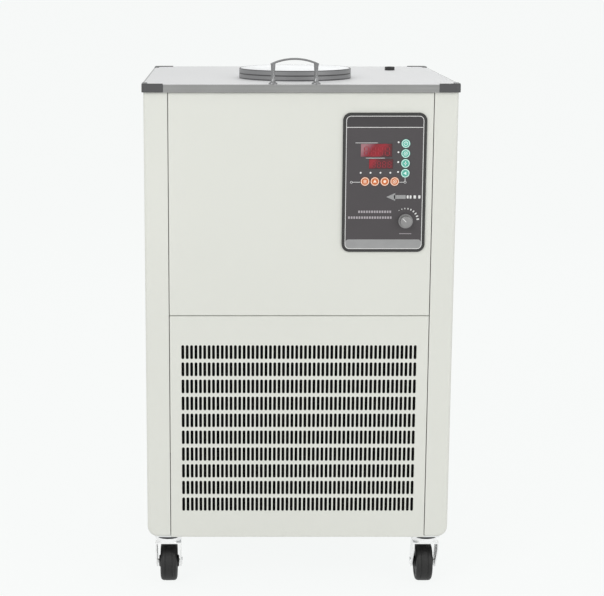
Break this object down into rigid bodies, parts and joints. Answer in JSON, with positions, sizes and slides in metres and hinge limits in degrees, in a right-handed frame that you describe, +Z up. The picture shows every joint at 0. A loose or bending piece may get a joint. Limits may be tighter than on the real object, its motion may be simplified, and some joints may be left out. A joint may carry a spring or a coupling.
{
  "type": "low temperature reaction bath",
  "caption": "Floor-standing refrigerated reaction bath on castors: lidded round bath in the worktop, keypad and speed knob, slotted intake grille, rear drain.",
  "frame": {"origin": "on the floor under the middle of the machine's overall length, knob and drain spigot included", "axes": "+Z up, +Y from the control panel towards the rear panel, +X to the right as seen from the front"},
  "size_m": [0.57, 0.6188, 0.9996],
  "materials": {
    "panel_paint": "fine powder coat, warm off-white",
    "worktop_white": "smooth white",
    "trim_aluminium": "satin anodised",
    "dark_plastic": "matt",
    "grey_plastic": "satin",
    "stainless": "brushed",
    "chrome": "polished",
    "zinc": "bright zinc",
    "wheel_black": "matt",
    "galvanised": "galvanised",
    "foam": "cast foam",
    "filter_black": "open foam",
    "copper": "drawn",
    "brass": "machined",
    "fascia_film": "printed film",
    "display_red": "tinted window",
    "key_orange": "gloss",
    "key_green": "gloss",
    "lamp_white": "clear",
    "board_green": "lacquered",
    "knob_silver": "turned",
    "compressor_black": "gloss black",
    "rubber": "moulded",
    "fins": "mill finish",
    "lever_red": "dipped",
    "fan_black": "moulded"
  },
  "bodies": {
    "cabinet": {"side_cover_right": "panel_paint", "side_cover_left": "panel_paint", "upper_front_panel": "panel_paint", "lower_grille_panel": "panel_paint", "rear_panel": "panel_paint", "base_pan": "galvanised", "inner_frame": "galvanised", "bath_shelf": "galvanised", "worktop": "worktop_white", "edge_trims": "trim_aluminium", "corner_caps": "dark_plastic", "bath_tank": "stainless", "bath_collar": "grey_plastic", "bath_insulation": "foam", "lid_rim": "grey_plastic", "lid_disc": "stainless", "lid_plug": "foam", "evaporator_coil": "copper", "stirrer_motor": "galvanised", "pull_handle": "chrome", "rod_socket": "dark_plastic", "control_bezel": "dark_plastic", "control_fascia": "fascia_film", "display_modules": "display_red", "indicator_lamps": "lamp_white", "control_board": "board_green", "speed_potentiometer": "dark_plastic", "dust_filter": "filter_black", "condenser": "fins", "fan_shroud": "galvanised", "fan_motor": "compressor_black", "compressor": "compressor_black", "compressor_grommets": "rubber", "filter_drier": "copper", "refrigerant_lines": "copper", "drain_pipe": "stainless", "drain_valve_body": "brass", "mains_inlet": "dark_plastic", "castor_plates": "zinc"},
    "speed_knob": {"speed_knob": "knob_silver"},
    "condenser_fan": {"condenser_fan": "fan_black"},
    "stirrer_magnet": {"stirrer_magnet": "galvanised"},
    "valve_lever": {"valve_lever": "lever_red", "valve_ball": "stainless"},
    "orange_key_1": {"orange_key_1": "key_orange"},
    "orange_key_2": {"orange_key_2": "key_orange"},
    "orange_key_3": {"orange_key_3": "key_orange"},
    "orange_key_4": {"orange_key_4": "key_orange"},
    "green_key_1": {"green_key_1": "key_green"},
    "green_key_2": {"green_key_2": "key_green"},
    "green_key_3": {"green_key_3": "key_green"},
    "green_key_4": {"green_key_4": "key_green"},
    "castor_front_left": {"castor_fork_front_left": "zinc"},
    "wheel_front_left": {"castor_wheel_front_left": "wheel_black"},
    "castor_front_right": {"castor_fork_front_right": "zinc"},
    "wheel_front_right": {"castor_wheel_front_right": "wheel_black"},
    "castor_rear_left": {"castor_fork_rear_left": "zinc"},
    "wheel_rear_left": {"castor_wheel_rear_left": "wheel_black"},
    "castor_rear_right": {"castor_fork_rear_right": "zinc"},
    "wheel_rear_right": {"castor_wheel_rear_right": "wheel_black"}
  },
  "joints": [
    {"name": "orange_key_1_press", "type": "slide", "parent": "cabinet", "child": "orange_key_1", "axis": [0, 1, 0], "range_m": [0, 0.0008], "stiffness_N_per_m": 600, "springref_m": -0.001},
    {"name": "orange_key_2_press", "type": "slide", "parent": "cabinet", "child": "orange_key_2", "axis": [0, 1, 0], "range_m": [0, 0.0008], "stiffness_N_per_m": 600, "springref_m": -0.001},
    {"name": "orange_key_3_press", "type": "slide", "parent": "cabinet", "child": "orange_key_3", "axis": [0, 1, 0], "range_m": [0, 0.0008], "stiffness_N_per_m": 600, "springref_m": -0.001},
    {"name": "orange_key_4_press", "type": "slide", "parent": "cabinet", "child": "orange_key_4", "axis": [0, 1, 0], "range_m": [0, 0.0008], "stiffness_N_per_m": 600, "springref_m": -0.001},
    {"name": "green_key_1_press", "type": "slide", "parent": "cabinet", "child": "green_key_1", "axis": [0, 1, 0], "range_m": [0, 0.0008], "stiffness_N_per_m": 600, "springref_m": -0.001},
    {"name": "green_key_2_press", "type": "slide", "parent": "cabinet", "child": "green_key_2", "axis": [0, 1, 0], "range_m": [0, 0.0008], "stiffness_N_per_m": 600, "springref_m": -0.001},
    {"name": "green_key_3_press", "type": "slide", "parent": "cabinet", "child": "green_key_3", "axis": [0, 1, 0], "range_m": [0, 0.0008], "stiffness_N_per_m": 600, "springref_m": -0.001},
    {"name": "green_key_4_press", "type": "slide", "parent": "cabinet", "child": "green_key_4", "axis": [0, 1, 0], "range_m": [0, 0.0008], "stiffness_N_per_m": 600, "springref_m": -0.001},
    {"name": "speed_knob_turn", "type": "hinge", "parent": "cabinet", "child": "speed_knob", "pos_m": [0.1904, -0.2954, 0.708], "axis": [0, 1, 0], "range_deg": [0, 270]},
    {"name": "condenser_fan_spin", "type": "hinge", "parent": "cabinet", "child": "condenser_fan", "pos_m": [0, -0.2226, 0.293], "axis": [0, 1, 0], "continuous": true},
    {"name": "stirrer_spin", "type": "hinge", "parent": "cabinet", "child": "stirrer_magnet", "pos_m": [-0.004, -0.1029, 0.7585], "axis": [0, 0, 1], "continuous": true},
    {"name": "drain_lever_turn", "type": "hinge", "parent": "cabinet", "child": "valve_lever", "pos_m": [0.052, 0.2744, 0.7085], "axis": [0, 0, 1], "range_deg": [0, 90]},
    {"name": "swivel_front_left", "type": "hinge", "parent": "cabinet", "child": "castor_front_left", "pos_m": [-0.244, -0.2579, 0.0987], "axis": [0, 0, 1], "continuous": true},
    {"name": "roll_front_left", "type": "hinge", "parent": "castor_front_left", "child": "wheel_front_left", "pos_m": [-0.244, -0.2319, 0.0375], "axis": [1, 0, 0], "continuous": true},
    {"name": "swivel_front_right", "type": "hinge", "parent": "cabinet", "child": "castor_front_right", "pos_m": [0.244, -0.2579, 0.0987], "axis": [0, 0, 1], "continuous": true},
    {"name": "roll_front_right", "type": "hinge", "parent": "castor_front_right", "child": "wheel_front_right", "pos_m": [0.244, -0.2319, 0.0375], "axis": [1, 0, 0], "continuous": true},
    {"name": "swivel_rear_left", "type": "hinge", "parent": "cabinet", "child": "castor_rear_left", "pos_m": [-0.244, 0.2261, 0.0987], "axis": [0, 0, 1], "continuous": true},
    {"name": "roll_rear_left", "type": "hinge", "parent": "castor_rear_left", "child": "wheel_rear_left", "pos_m": [-0.244, 0.2001, 0.0375], "axis": [1, 0, 0], "continuous": true},
    {"name": "swivel_rear_right", "type": "hinge", "parent": "cabinet", "child": "castor_rear_right", "pos_m": [0.244, 0.2261, 0.0987], "axis": [0, 0, 1], "continuous": true},
    {"name": "roll_rear_right", "type": "hinge", "parent": "castor_rear_right", "child": "wheel_rear_right", "pos_m": [0.244, 0.2001, 0.0375], "axis": [1, 0, 0], "continuous": true}
  ]
}
